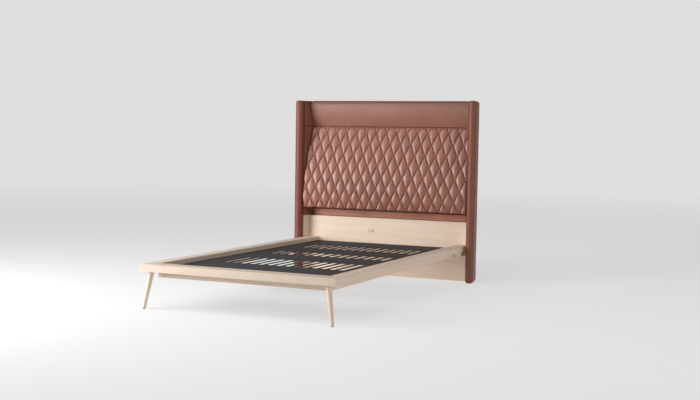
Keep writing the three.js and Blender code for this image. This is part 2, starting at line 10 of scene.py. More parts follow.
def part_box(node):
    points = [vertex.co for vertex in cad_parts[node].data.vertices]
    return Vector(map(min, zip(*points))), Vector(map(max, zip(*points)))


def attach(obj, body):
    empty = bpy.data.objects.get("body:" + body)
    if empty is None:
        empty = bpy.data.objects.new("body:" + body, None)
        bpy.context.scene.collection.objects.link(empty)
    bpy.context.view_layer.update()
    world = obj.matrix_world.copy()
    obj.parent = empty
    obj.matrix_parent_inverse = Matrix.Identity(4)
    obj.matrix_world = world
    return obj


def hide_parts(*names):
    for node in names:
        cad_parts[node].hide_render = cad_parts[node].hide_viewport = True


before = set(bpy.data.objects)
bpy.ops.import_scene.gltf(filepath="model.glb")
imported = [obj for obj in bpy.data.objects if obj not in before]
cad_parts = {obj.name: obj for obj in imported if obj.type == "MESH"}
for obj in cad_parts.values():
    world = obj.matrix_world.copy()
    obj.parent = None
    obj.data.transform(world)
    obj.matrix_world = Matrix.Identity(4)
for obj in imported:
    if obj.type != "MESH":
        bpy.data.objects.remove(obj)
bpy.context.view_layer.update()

# Camera: a long lens about a metre above the floor, off the right side of the foot end,
# looking back along the bed at the headboard.
camera_place = Vector((3.0785, -6.2950, 1.0022))
camera_turn = 0.4306
camera_dip = 0.0580
camera_roll = 0.0162
camera_lens = 57.24
camera_sensor = 36.0
camera_reach = 200.0
camera = bpy.data.objects.new("camera", bpy.data.cameras.new("camera"))
camera.data.lens = camera_lens
camera.data.sensor_width = camera_sensor
camera.data.clip_end = camera_reach
camera.matrix_world = (
    Matrix.Translation(camera_place)
    @ Matrix.Rotation(camera_turn, 4, "Z")
    @ Matrix.Rotation(math.pi / 2 - camera_dip, 4, "X")
    @ Matrix.Rotation(camera_roll, 4, "Z")
)
bpy.context.scene.collection.objects.link(camera)
bpy.context.scene.camera = camera

# Studio: a wide pale floor that fades into an even pale room, a near soft lamp low on the left with
# a smaller one above it, a broad one low on the right, and a weak one high over the bed.
floor_half = 60.0
floor_colour = (0.30, 0.30, 0.30)
floor_glow = 0.57
floor_matt = 0.7
floor_shine = 0.1
floor_fade = (5.0, 16.0)
room_colour = (0.735, 0.735, 0.735)
room_light = 0.18
room_gloss = (0.10, 0.40)
room_gloss_span = (-0.4, 0.6)
white = (1, 1, 1, 1)
lamps = {
    "lamp_left": {"place": (-2.7, -2.4, 1.2), "aim": (0.0, 0.7, 0.6), "size": 2.0, "power": 156.0},
    "lamp_right": {"place": (6.6, -1.4, 1.3), "aim": (0.5, 0.0, 0.2), "size": 2.6, "power": 106.0},
    "lamp_high": {"place": (-2.7, -2.6, 3.2), "aim": (0.0, 0.7, 0.6), "size": 1.6, "power": 38.0},
    "lamp_over": {"place": (-0.5, -2.0, 4.5), "aim": (-0.5, 0.0, 0.3), "size": 3.0, "power": 60.0},
}


def feed(tree, node, sources):
    """Gives each named socket of a node a value, or a link from another node's output."""
    for socket, source in sources.items():
        if isinstance(source, bpy.types.NodeSocket):
            tree.links.new(source, node.inputs[socket])
        else:
            node.inputs[socket].default_value = source


def node_output(tree, kind, sources, output=0, **settings):
    """Adds a shader node with its settings, and returns the one of its outputs that is used."""
    node = tree.nodes.new(kind)
    for setting, value in settings.items():
        setattr(node, setting, value)
    feed(tree, node, sources)
    return node.outputs[output]


def reckoned(tree, operation, *terms):
    """The result of a math node."""
    return node_output(tree, "ShaderNodeMath", dict(enumerate(terms)), operation=operation)


def remapped(tree, value, old=(0, 1), new=(0, 1), way="LINEAR"):
    """The result of a map range node, which takes values from an old span to a new one."""
    spans = {"From Min": old[0], "From Max": old[1], "To Min": new[0], "To Max": new[1]}
    sources = {"Value": value, **spans}
    return node_output(tree, "ShaderNodeMapRange", sources, interpolation_type=way)


floor_mesh = bpy.data.meshes.new("studio_floor")
floor_mesh.from_pydata(
    [(x * floor_half, y * floor_half, 0) for x, y in ((-1, -1), (1, -1), (1, 1), (-1, 1))],
    [],
    [(0, 1, 2, 3)],
)
floor = bpy.data.objects.new("studio_floor", floor_mesh)
bpy.context.scene.collection.objects.link(floor)


def straight_rays(tree):
    """1 for rays that come straight from the camera, which see the plain background."""
    return node_output(tree, "ShaderNodeLightPath", {}, "Is Camera Ray")


floor_paint = bpy.data.materials.new("studio_floor")
floor_paint.use_nodes = True
floor_tree = floor_paint.node_tree
floor_shader = floor_tree.nodes["Principled BSDF"]
feed(floor_tree, floor_shader, {
    "Base Color": (*floor_colour, 1),
    "Roughness": floor_matt,
    "Specular IOR Level": floor_shine,
    "Emission Color": white,
    "Emission Strength": floor_glow,
})
floor_near = floor_shader.outputs[0]
floor_far = node_output(floor_tree, "ShaderNodeEmission", {"Color": (*room_colour, 1)})
floor_place = node_output(floor_tree, "ShaderNodeTexCoord", {}, "Object")
floor_reach = node_output(
    floor_tree, "ShaderNodeVectorMath", {0: floor_place}, "Value", operation="LENGTH"
)
floor_share = remapped(floor_tree, floor_reach, floor_fade, way="SMOOTHSTEP")
floor_shown = reckoned(floor_tree, "MULTIPLY", floor_share, straight_rays(floor_tree))
floor_mix = node_output(
    floor_tree, "ShaderNodeMixShader", {0: floor_shown, 1: floor_near, 2: floor_far}
)
feed(floor_tree, floor_tree.nodes["Material Output"], {"Surface": floor_mix})
floor_mesh.materials.append(floor_paint)

world = bpy.data.worlds.new("studio")
bpy.context.scene.world = world
world.use_nodes = True
sky = world.node_tree
feed(sky, sky.nodes["Background"], {"Color": (*room_colour, 1)})
pale_room = sky.nodes["Background"].outputs[0]
room_glow = node_output(sky, "ShaderNodeBackground", {"Color": white, "Strength": room_light})
room_way = node_output(sky, "ShaderNodeTexCoord", {}, "Generated")
room_back = node_output(sky, "ShaderNodeSeparateXYZ", {0: room_way}, "Y")
room_rise = remapped(sky, room_back, room_gloss_span, room_gloss)
room_shine = node_output(sky, "ShaderNodeBackground", {"Color": white, "Strength": room_rise})
shone_rays = node_output(sky, "ShaderNodeLightPath", {}, "Is Glossy Ray")
lit_or_shone = node_output(sky, "ShaderNodeMixShader", {0: shone_rays, 1: room_glow, 2: room_shine})
chosen = node_output(
    sky, "ShaderNodeMixShader", {0: straight_rays(sky), 1: lit_or_shone, 2: pale_room}
)
feed(sky, sky.nodes["World Output"], {"Surface": chosen})

for lamp_name, lamp in lamps.items():
    light = bpy.data.lights.new(lamp_name, "AREA")
    light.shape = "SQUARE"
    light.size = lamp["size"]
    light.energy = lamp["power"]
    holder = bpy.data.objects.new(lamp_name, light)
    holder.location = lamp["place"]
    aim = Vector(lamp["aim"]) - holder.location
    holder.rotation_euler = aim.to_track_quat("-Z", "Y").to_euler()
    bpy.context.scene.collection.objects.link(holder)
bpy.context.scene.view_settings.view_transform = "Standard"

# Oak bed frame: four rails with a soft arris, sanded and finished with a clear matt oil. The grain
# runs along each rail, and the front corners are mitred and splined.
oak_pale = (0.700, 0.565, 0.455)
oak_warm = (0.640, 0.498, 0.382)
# The front rail and the front apron take a darker copy of the same oak, as painted shade.
front_painted_shade_pale = (0.600, 0.492, 0.402)
front_painted_shade_warm = (0.545, 0.430, 0.335)
oak_pores = (0.80, 0.74, 0.68)
oak_across_grain = 11.0
oak_along_grain = 0.55
oak_ring_weight = 0.38
oak_fibre_weight = 1.5
oak_fibre_bias = -0.55
oak_pore_span = (0.60, 0.74)
oak_matt = (0.46, 0.66)
oak_fibre_depth = 0.0003
oak_arris = 0.0022
arris_least_angle = math.radians(35)
weld_reach = 0.00002


def look_group(name, inputs):
    """A shader node group with these inputs, which gives a colour, a roughness and a height."""
    tree = bpy.data.node_groups.new(name, "ShaderNodeTree")
    for socket_name, kind, value in inputs:
        socket = tree.interface.new_socket(socket_name, in_out="INPUT", socket_type=kind)
        socket.default_value = value
    for socket_name in ("Color", "Roughness", "Height"):
        kind = "NodeSocketColor" if socket_name == "Color" else "NodeSocketFloat"
        tree.interface.new_socket(socket_name, in_out="OUTPUT", socket_type=kind)
    return tree, tree.nodes.new("NodeGroupInput").outputs, tree.nodes.new("NodeGroupOutput")


def noise(tree, place, scale, detail, roughness=0.5):
    """The values of a noise texture."""
    sources = {"Vector": place, "Scale": scale, "Detail": detail, "Roughness": roughness}
    return node_output(tree, "ShaderNodeTexNoise", sources, "Fac")


def blended(tree, share, first, second, way="MIX"):
    """The result of mixing two colours."""
    sources = {"Factor": share, "A": first, "B": second}
    return node_output(tree, "ShaderNodeMix", sources, "Result", data_type="RGBA", blend_type=way)


def figured_wood():
    """Wood grain: rings drawn out along the board, fine fibres between two tones, and dark pores."""
    tree, given, made = look_group("figured_wood", [
        ("Grain Stretch", "NodeSocketVector", (1.0, 1.0, 1.0)),
        ("Shift", "NodeSocketFloat", 0.0),
        ("Pale", "NodeSocketColor", (*oak_pale, 1)),
        ("Warm", "NodeSocketColor", (*oak_warm, 1)),
    ])
    place = node_output(tree, "ShaderNodeTexCoord", {}, "Object")
    sources = {0: place, 1: given["Grain Stretch"]}
    stretched = node_output(tree, "ShaderNodeVectorMath", sources, operation="MULTIPLY")
    sources = {0: stretched, 1: given["Shift"]}
    moved = node_output(tree, "ShaderNodeVectorMath", sources, operation="ADD")
    fibres = noise(tree, moved, scale=9.0, detail=5.0, roughness=0.62)
    rings = node_output(
        tree,
        "ShaderNodeTexWave",
        {"Vector": moved, "Scale": 0.9, "Distortion": 5.0, "Detail": 3.0, "Detail Scale": 1.4},
        "Fac",
        wave_type="RINGS",
        rings_direction="SPHERICAL",
    )
    pores = remapped(tree, noise(tree, moved, scale=60.0, detail=2.0), old=oak_pore_span)
    fibre_share = reckoned(tree, "MULTIPLY_ADD", fibres, oak_fibre_weight, oak_fibre_bias)
    warm_share = reckoned(tree, "MULTIPLY_ADD", rings, oak_ring_weight, fibre_share)
    toned = blended(tree, warm_share, given["Pale"], given["Warm"])
    feed(tree, made, {
        "Color": blended(tree, pores, toned, (*oak_pores, 1), "MULTIPLY"),
        "Roughness": remapped(tree, fibres, new=oak_matt),
        "Height": reckoned(tree, "SUBTRACT", fibres, pores),
    })
    return tree


wood_figure = figured_wood()


def plain_material(name, roughness=0.5, metallic=0.0):
    """A new material, with its node tree and its shader."""
    material = bpy.data.materials.new(name)
    material.use_nodes = True
    shader = material.node_tree.nodes["Principled BSDF"]
    feed(material.node_tree, shader, {"Roughness": roughness, "Metallic": metallic})
    return material, material.node_tree, shader


def raised(tree, shader, height, distance, strength=1.0):
    """Fine relief on a material, as deep as distance where height is 1."""
    relief = {"Height": height, "Distance": distance, "Strength": strength}
    feed(tree, shader, {"Normal": node_output(tree, "ShaderNodeBump", relief)})


def oak(name, along, shift, pale=oak_pale, warm=oak_warm):
    """Wood with its grain along one axis, cut from its own place in the figure."""
    material, tree, shader = plain_material(name)
    figure = tree.nodes.new("ShaderNodeGroup")
    figure.node_tree = wood_figure
    stretch = [oak_along_grain if axis == along else oak_across_grain for axis in "xyz"]
    feed(tree, figure, {"Grain Stretch": stretch, "Shift": shift})
    feed(tree, figure, {"Pale": (*pale, 1), "Warm": (*warm, 1)})
    feed(tree, shader, {
        "Base Color": figure.outputs["Color"],
        "Roughness": figure.outputs["Roughness"],
    })
    raised(tree, shader, figure.outputs["Height"], oak_fibre_depth)
    return material


def eased_node(node_name, material, arris):
    """Gives one of the frame's own solids its material and a softened edge."""
    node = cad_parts[node_name]
    node.data.materials.clear()
    node.data.materials.append(material)
    weld = node.modifiers.new("weld", "WELD")
    weld.merge_threshold = weld_reach
    bevel = node.modifiers.new("arris", "BEVEL")
    bevel.width = arris
    bevel.segments = 3
    bevel.limit_method = "ANGLE"
    bevel.angle_limit = arris_least_angle
    bevel.use_clamp_overlap = True
    even = node.modifiers.new("even_shading", "WEIGHTED_NORMAL")
    even.keep_sharp = False


# The front rail's oak is the darker copy: painted shade.
oak_across_painted_shade = oak("oak_across_painted_shade", "x", shift=0.0, pale=front_painted_shade_pale, warm=front_painted_shade_warm)
oak_along_left = oak("oak_along_left", "y", shift=3.7)
oak_along_right = oak("oak_along_right", "y", shift=9.2)
eased_node("front_rail", oak_across_painted_shade, oak_arris)
eased_node("side_rail_left", oak_along_left, oak_arris)
eased_node("side_rail_right", oak_along_right, oak_arris)

# Aprons and battens: planed oak boards on edge under the rails, set back from the bed's outside, and
# battens across between them. Together they carry the deck.
apron_arris = 0.0015
# The front apron's oak is the darker copy too: painted shade.
front_apron_painted_shade_oak = oak("oak_apron_front_painted_shade", "x", shift=5.1, pale=front_painted_shade_pale, warm=front_painted_shade_warm)
eased_node("apron_front", front_apron_painted_shade_oak, apron_arris)
eased_node("apron_rear", oak("oak_apron_rear", "x", shift=8.4), apron_arris)
eased_node("apron_left", oak("oak_apron_left", "y", shift=1.3), apron_arris)
eased_node("apron_right", oak("oak_apron_right", "y", shift=6.6), apron_arris)
for batten_shift, batten_end in enumerate(("foot", "front", "middle", "head"), 2):
    batten_oak = oak(f"oak_batten_{batten_end}", "x", batten_shift)
    eased_node(f"cross_batten_{batten_end}", batten_oak, apron_arris)

# Splines: two thin strips of birch plywood glued into slots across the front mitres, which keep
# the corners from opening. They can't be seen once the frame is glued.
ply_pale = (0.56, 0.40, 0.24)
ply_warm = (0.46, 0.31, 0.18)
spline_arris = 0.0005
plywood_across = oak("plywood_across", "x", shift=4.4, pale=ply_pale, warm=ply_warm)
for side_name in ("left", "right"):
    eased_node(f"mitre_spline_{side_name}", plywood_across, spline_arris)

# Deck: three thin plywood panels painted charcoal, each with a window of slots cut through it to
# air the mattress. They lie on the battens and the aprons, inside the rails.
deck_arris = 0.0012
deck_colour = (0.043, 0.043, 0.046)
deck_worn = (0.062, 0.061, 0.063)
deck_matt = (0.70, 0.92)
deck_shine = 0.12
deck_stipple_scale = 420.0
deck_stipple_depth = 0.00025


def clouded_finish():
    """A finish that varies softly between two tones, and between two grades of dullness."""
    tree, given, made = look_group("clouded_finish", [
        ("Scale", "NodeSocketFloat", 14.0),
        ("Detail", "NodeSocketFloat", 2.0),
        ("First", "NodeSocketColor", (*deck_colour, 1)),
        ("Second", "NodeSocketColor", (*deck_worn, 1)),
        ("Least Matt", "NodeSocketFloat", deck_matt[0]),
        ("Most Matt", "NodeSocketFloat", deck_matt[1]),
    ])
    place = node_output(tree, "ShaderNodeTexCoord", {}, "Object")
    cloud = noise(tree, place, given["Scale"], given["Detail"])
    matt = (given["Least Matt"], given["Most Matt"])
    feed(tree, made, {
        "Color": blended(tree, cloud, given["First"], given["Second"]),
        "Roughness": remapped(tree, cloud, new=matt),
        "Height": cloud,
    })
    return tree


clouded_look = clouded_finish()


def clouded(tree, shader, first, second, scale, detail, matt=None):
    """Colours a material with the clouded finish, and sets how dull it is where matt is given."""
    finish = tree.nodes.new("ShaderNodeGroup")
    finish.node_tree = clouded_look
    feed(tree, finish, {"Scale": scale, "Detail": detail})
    feed(tree, finish, {"First": (*first, 1), "Second": (*second, 1)})
    feed(tree, shader, {"Base Color": finish.outputs["Color"]})
    if matt:
        feed(tree, finish, {"Least Matt": matt[0], "Most Matt": matt[1]})
        feed(tree, shader, {"Roughness": finish.outputs["Roughness"]})
    return finish


deck_paint, deck_tree, deck_shader = plain_material("deck_paint")
feed(deck_tree, deck_shader, {"Specular IOR Level": deck_shine})
clouded(deck_tree, deck_shader, deck_colour, deck_worn, scale=14.0, detail=6.0, matt=deck_matt)
deck_place = node_output(deck_tree, "ShaderNodeTexCoord", {}, "Object")
deck_stipple = noise(deck_tree, deck_place, deck_stipple_scale, detail=3.0)
raised(deck_tree, deck_shader, deck_stipple, deck_stipple_depth)
for panel_name in ("front", "middle", "rear"):
    eased_node(f"deck_panel_{panel_name}", deck_paint, deck_arris)

# Legs: two round tapered oak legs at the foot end, turned, splayed outwards on the diagonal,
# with an eased foot over a nylon glide. The stud in the top screws into the rail.
leg_top_radius = 0.017
leg_foot_radius = 0.0105
leg_top_inset = Vector((0.057, 0.035, 0))
leg_foot_inset = Vector((0.021, 0.012, 0))
leg_sides = 48
leg_rings = 24
leg_foot_round = 0.0025
leg_foot_draw = 0.002


def mesh_piece(name, points, faces, material):
    """A smooth-shaded piece made of points and faces."""
    mesh = bpy.data.meshes.new(name)
    mesh.from_pydata([tuple(point) for point in points], [], faces)
    mesh.update()
    mesh.materials.append(material)
    for polygon in mesh.polygons:
        polygon.use_smooth = True
    piece = bpy.data.objects.new(name, mesh)
    bpy.context.scene.collection.objects.link(piece)
    return piece


def tube_faces(rings, count):
    """Faces of a solid made of rings with the same count of points each, closed at both ends."""
    faces = []
    for ring in range(rings - 1):
        for i in range(count):
            a = ring * count + i
            b = ring * count + (i + 1) % count
            faces.append((a, b, b + count, a + count))
    faces.append(tuple(reversed(range(count))))
    faces.append(tuple(range((rings - 1) * count, rings * count)))
    return faces


rail_low, rail_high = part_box("front_rail")
for side, side_name in ((-1, "left"), (1, "right")):
    leg_low, leg_high = (corner.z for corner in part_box(f"leg_{side_name}"))
    corner = Vector((side * rail_high.x, rail_low.y, 0))
    inward = Vector((-side, 1, 1))
    leg_top = corner + leg_top_inset * inward + Vector((0, 0, leg_high))
    leg_foot = corner + leg_foot_inset * inward
    leg_points = []
    for ring in range(leg_rings + 1):
        level = leg_low + (leg_high - leg_low) * ring / leg_rings
        if ring == 1:
            level = leg_low + leg_foot_round
        share = level / leg_high
        centre = leg_foot.lerp(leg_top, share)
        radius = leg_foot_radius + (leg_top_radius - leg_foot_radius) * share
        if ring == 0:
            radius -= leg_foot_draw
        for step in range(leg_sides):
            angle = 2 * math.pi * step / leg_sides
            leg_points.append(centre + radius * Vector((math.cos(angle), math.sin(angle), 0)))
    leg_oak = oak(f"oak_leg_{side_name}", "z", shift=2.5 + side)
    leg = mesh_piece(
        f"turned_leg_{side_name}", leg_points, tube_faces(leg_rings + 1, leg_sides), leg_oak
    )
    for polygon in leg.data.polygons:
        polygon.use_smooth = len(polygon.vertices) == 4
    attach(leg, "root")
    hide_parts(f"leg_{side_name}")

# Bearers: a short oak block under the head end of each side rail, bolted up into the rail and back
# through the wood panel, so that the headboard carries that end of the frame.
for bearer_shift, side_name in ((3.1, "left"), (7.3, "right")):
    bearer_oak = oak(f"oak_bearer_{side_name}", "y", bearer_shift)
    eased_node(f"rail_bearer_{side_name}", bearer_oak, apron_arris)

# Bolts and studs: turned rod with a dark zinc finish, which hold the bearers to the rails and to
# the wood panel, and the legs to the rails.
steel_dark = (0.135, 0.105, 0.085)
steel_bright = (0.22, 0.185, 0.16)
steel_matt = (0.30, 0.55)
steel_arris = 0.0005
zinc, zinc_tree, zinc_shader = plain_material("dark_zinc", metallic=0.85)
clouded(zinc_tree, zinc_shader, steel_dark, steel_bright, scale=90.0, detail=4.0, matt=steel_matt)
for side_name in ("left", "right"):
    for fitting in ("rail_bolt", "panel_bolt", "leg_stud"):
        eased_node(f"{fitting}_{side_name}", zinc, steel_arris)

# Nylon glides: moulded black discs pressed on under the legs and the wings, which keep the wood off
# the floor. Their faces have the fine grain of the mould.
nylon_colour = (0.025, 0.024, 0.023)
nylon_grain_depth = 0.0001
glide_arris = 0.0004
nylon, nylon_tree, nylon_shader = plain_material("moulded_nylon", roughness=0.5)
nylon_pale = [2 * value for value in nylon_colour]
nylon_grain = clouded(nylon_tree, nylon_shader, nylon_colour, nylon_pale, scale=600.0, detail=2.0)
raised(nylon_tree, nylon_shader, nylon_grain.outputs["Height"], nylon_grain_depth)
for side_name in ("left", "right"):
    for glide in ("leg_glide", "wing_glide_front", "wing_glide_rear"):
        eased_node(f"{glide}_{side_name}", nylon, glide_arris)

# Wood panel and its two short returns: wide oak boards under the leather, with the grain lying
# level, finished like the rails. The panel runs down behind the deck, close to the floor.
panel_pale = (0.770, 0.618, 0.490)
panel_warm = (0.705, 0.545, 0.412)
wood_arris = 0.0015
panel_oak = oak("oak_wood_panel", "x", shift=7.7, pale=panel_pale, warm=panel_warm)
eased_node("wood_panel", panel_oak, wood_arris)
for return_shift, side_name in ((1.9, "left"), (5.8, "right")):
    return_oak = oak(f"oak_return_{side_name}", "y", return_shift, panel_pale, panel_warm)
    eased_node(f"wing_wood_return_{side_name}", return_oak, wood_arris)

# Carcass behind the leather: a plywood board, a batten that joins it to the wood panel, a cross
# bar near the floor, the two wing cores, and a dark dust cover over the back.
carcass_arris = 0.0008
for inner_part in ("headboard_board", "joining_batten", "cross_bar"):
    eased_node(inner_part, plywood_across, carcass_arris)
plywood_upright = oak("plywood_upright", "z", shift=1.1, pale=ply_pale, warm=ply_warm)
for side_name in ("left", "right"):
    eased_node(f"wing_core_{side_name}", plywood_upright, carcass_arris)
dust_dark = (0.030, 0.026, 0.024)
dust_light = (0.060, 0.053, 0.049)
dust_thread_scale = 210.0
dust_thread_depth = 0.0003
dust_cloth, dust_tree, dust_shader = plain_material("dust_cloth", roughness=0.95)
dust_place = node_output(dust_tree, "ShaderNodeTexCoord", {}, "Object")
dust_thread = {"Vector": dust_place, "Scale": dust_thread_scale, "Distortion": 0.6}
dust_threads = [
    node_output(dust_tree, "ShaderNodeTexWave", dust_thread, "Fac", bands_direction=way)
    for way in "XZ"
]
dust_weave = reckoned(dust_tree, "MULTIPLY", *dust_threads)
dust_tone = blended(dust_tree, dust_weave, (*dust_dark, 1), (*dust_light, 1))
feed(dust_tree, dust_shader, {"Base Color": dust_tone})
raised(dust_tree, dust_shader, dust_weave, dust_thread_depth)
eased_node("back_cover", dust_cloth, carcass_arris)

# Leather wings: one hide wrapped round each padded core, with a round nose, round top corners and
# a crease where the inner lining is sewn in. They lean outwards from the bed towards the front.
leather_base = (0.270, 0.092, 0.054)
leather_deep = (0.150, 0.042, 0.022)
leather_rubbed = (0.330, 0.130, 0.088)
# The sewn tone also serves as painted shade, on the band's shoulder and the strip's top.
leather_sewn_and_shade = (0.095, 0.026, 0.013)
leather_grain_depth = 0.00018
leather_grain_strength = 0.6
leather_coat_matt = 0.32
leather_deep_from = (0.35, 0.75)
leather_deep_most = 0.40
leather_matt = (0.38, 0.56)
leather_crease_weight = 0.6
seam_matt = 0.9
seam_reach = 0.0036
seam_core = 0.0004
# The wings' leather is coloured darker than the rest of the hide, as painted shade.
wing_painted_shade_brown = (0.176, 0.055, 0.031)
wing_flare = math.radians(10)
wing_half = 0.028
wing_edge_round = 0.018
wing_rear_round = 0.040
wing_rear_round_least = 0.005
wing_crease = 0.024
wing_crease_bend = 0.004
wing_notch = 0.0063
wing_slack = 0.0004
wing_waves = (23, 9, 31, 7)
wing_rows = 84
wing_nose_steps = 36
wing_front_steps = 5
wing_side_steps = 26
wing_round_steps = 8
panel_low, panel_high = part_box("wood_panel")
fit_gap = 0.0003
back_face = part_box("back_cover")[1].y


def tanned_leather():
    """Smooth hide: soft clouds of a deeper tone, rubbed places, sewn places and painted shade in one
    dark layer, pebbles and fine creases.
    """
    tree, given, made = look_group("tanned_leather", [
        ("Base", "NodeSocketColor", (*leather_base, 1)),
        ("Deep", "NodeSocketColor", (*leather_deep, 1)),
        ("Rubbed", "NodeSocketColor", (*leather_rubbed, 1)),
        ("Sewn And Shade", "NodeSocketColor", (*leather_sewn_and_shade, 1)),
        ("Wear", "NodeSocketFloat", 0.0),
        ("Seam", "NodeSocketFloat", 0.0),
    ])
    place = node_output(tree, "ShaderNodeTexCoord", {}, "Object")
    clouds = noise(tree, place, scale=7.0, detail=5.0)
    creases = noise(tree, place, scale=95.0, detail=6.0, roughness=0.6)
    sources = {"Vector": place, "Scale": 520.0}
    pebbles = node_output(
        tree, "ShaderNodeTexVoronoi", sources, "Distance", feature="DISTANCE_TO_EDGE"
    )
    deep_share = remapped(tree, clouds, leather_deep_from, (0, leather_deep_most))
    mottled = blended(tree, deep_share, given["Base"], given["Deep"])
    worn = blended(tree, given["Wear"], mottled, given["Rubbed"])
    matt = remapped(tree, creases, new=leather_matt)
    sources = {"Factor": given["Seam"], "A": matt, "B": seam_matt}
    feed(tree, made, {
        "Color": blended(tree, given["Seam"], worn, given["Sewn And Shade"]),
        "Roughness": node_output(tree, "ShaderNodeMix", sources, "Result"),
        "Height": reckoned(tree, "MULTIPLY_ADD", creases, leather_crease_weight, pebbles),
    })
    return tree


leather_look = tanned_leather()


def leather(name, base, coat, shine, worn=False):
    """Hide that is darker and duller near a seam and where painted shade is laid, and paler where it
    is rubbed, if it is worn.
    """
    material, tree, shader = plain_material(name)
    hide = tree.nodes.new("ShaderNodeGroup")
    hide.node_tree = leather_look
    # The seam layer holds seams and painted shade alike.
    reach = node_output(tree, "ShaderNodeAttribute", {}, "Fac", attribute_name="seam_and_shade_distance")
    seam_and_shade_share = remapped(tree, reach, (seam_reach, seam_core), way="SMOOTHSTEP")
    feed(tree, hide, {"Base": (*base, 1), "Seam": seam_and_shade_share})
    if worn:
        rubbed = node_output(tree, "ShaderNodeAttribute", {}, "Fac", attribute_name="wear")
        feed(tree, hide, {"Wear": rubbed})
    feed(tree, shader, {
        "Base Color": hide.outputs["Color"],
        "Roughness": hide.outputs["Roughness"],
        "Specular IOR Level": shine,
        "Coat Weight": coat,
        "Coat Roughness": leather_coat_matt,
    })
    raised(tree, shader, hide.outputs["Height"], leather_grain_depth, leather_grain_strength)
    return material


def add_layer(piece, layer, values):
    """Keeps one value for each point of a piece, for its material to read."""
    attribute = piece.data.attributes.new(layer, "FLOAT", "POINT")
    attribute.data.foreach_set("value", values)


def arc(centre, radius, start, end, steps):
    """Points along an arc from one angle to another, with both ends."""
    points = []
    for i in range(steps + 1):
        angle = start + (end - start) * i / steps
        points.append((centre[0] + radius * math.cos(angle), centre[1] + radius * math.sin(angle)))
    return points


def ripple(first, second, waves):
    """A soft unevenness, between -1 and 1, of two crossing sets of waves."""
    a, b, c, d = waves
    return math.sin(first * a + second * b) * math.sin(second * c + first * d)


def wing_face(y):
    """Half the width between the wings' inner faces at y."""
    return panel_high.x + fit_gap - (y - panel_low.y) * math.tan(wing_flare)


wing_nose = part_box("wing_cover_left")[0].y
wing_centre_y = wing_nose + wing_half
wing_tangent_y = wing_centre_y - wing_half * math.sin(wing_flare)
wing_centre_x = wing_face(wing_tangent_y) + wing_half * math.cos(wing_flare)


def wing_place(side, outward, back, level):
    """A place measured outwards and backwards from the middle of the wing's nose."""
    x = wing_centre_x + outward * math.cos(wing_flare) - back * math.sin(wing_flare)
    y = wing_centre_y + outward * math.sin(wing_flare) + back * math.cos(wing_flare)
    return Vector((side * x, y, level))


def wing_ring(inset):
    """Outline of a wing as (outward, back) points, drawn in by inset."""
    half = wing_half - inset
    run = (back_face - wing_centre_y) / math.cos(wing_flare)

    def rear(outward):
        return run - outward * math.tan(wing_flare) - inset / math.cos(wing_flare)

    ring = arc((0, 0), half, 0, -math.pi, wing_nose_steps)
    notch = max(-half, wing_notch - wing_half)
    for i in range(1, wing_front_steps):
        ring.append((-half, (wing_crease - wing_crease_bend) * i / wing_front_steps))
    for across, along in arc((0, 0), 1, 0, math.pi / 2, 4):
        step_in = (notch + half) * (1 - across)
        ring.append((step_in - half, wing_crease - wing_crease_bend * (1 - along)))
    for i in range(1, wing_side_steps + 1):
        ring.append((notch, wing_crease + (rear(notch) - wing_crease) * i / wing_side_steps))
    corner = max(wing_rear_round - inset, wing_rear_round_least)
    corner_run = corner / math.tan((math.pi / 2 + wing_flare) / 2)
    centre = (half - corner, rear(half) - corner_run)
    bend = arc(centre, corner, math.pi / 2 - wing_flare, 0, wing_round_steps)
    for share in (0.25, 0.5, 0.75):
        ring.append(tuple(a + (b - a) * share for a, b in zip((notch, rear(notch)), bend[0])))
    ring += bend
    for i in range(1, wing_side_steps):
        ring.append((half, centre[1] * (1 - i / wing_side_steps)))
    return ring


wing_leather = leather("wing_leather", wing_painted_shade_brown, coat=0.0, shine=0.35)
for side, side_name in ((-1, "left"), (1, "right")):
    wing_low, wing_high = (corner.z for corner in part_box(f"wing_cover_{side_name}"))
    foot_round = (wing_low + wing_edge_round, wing_edge_round)
    top_round = (wing_high - wing_edge_round, wing_edge_round)
    straight = top_round[0] - foot_round[0]
    rows = arc(foot_round, wing_edge_round, math.pi, 1.5 * math.pi, wing_round_steps)
    rows += [(foot_round[0] + straight * i / wing_rows, 0.0) for i in range(1, wing_rows)]
    rows += arc(top_round, wing_edge_round, -math.pi / 2, 0, wing_round_steps)
    wing_points = []
    wing_seam = []
    for level, inset in rows:
        for outward, back in wing_ring(inset):
            slack = wing_slack * ripple(level, back, wing_waves)
            length = math.hypot(outward, min(back, 0)) or 1
            wing_points.append(wing_place(side, outward - slack * outward / length, back, level))
            wing_seam.append(abs(back - wing_crease) if outward < 0 else wing_half)
    wing_faces = tube_faces(len(rows), len(wing_ring(0.0)))
    if side == 1:
        wing_faces = [tuple(reversed(face)) for face in wing_faces]
    wing = mesh_piece(f"leather_wing_{side_name}", wing_points, wing_faces, wing_leather)
    add_layer(wing, "seam_and_shade_distance", wing_seam)
    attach(wing, "root")
    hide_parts(f"wing_cover_{side_name}")

# Wing linings: a thin padded leather panel on the inner face of each wing, in two lengths that
# meet at the seam, with rolled edges.
lining_thickness = 0.006
lining_roll = 0.004
lining_crown = 0.0012
lining_columns = 44
lining_line_step = 0.008
lining_evenness = 0.35
lining_leather = leather("lining_leather", leather_base, coat=0.0, shine=0.4)


def rounded_fall(reach, radius):
    """How far an edge of that radius has fallen back, as a share of it, at a reach from its end."""
    return 1 - math.sqrt(max(0.0, 1 - (1 - min(reach / radius, 1.0)) ** 2))


def crowded(share):
    """Moves evenly spaced places towards both ends, where the rolled edges need them."""
    wave = math.cos(math.pi * share)
    return 0.5 - 0.5 * wave * (lining_evenness + (1 - lining_evenness) * abs(wave) ** 0.5)


def closed_behind(edges, back):
    """Faces that close a padded front: a flat back between four corners, and a side at each edge."""
    faces = [(back, back + 1, back + 2, back + 3)]
    for i, edge in enumerate(edges):
        faces.append((*edge, back + (i + 1) % 4, back + i))
    return faces


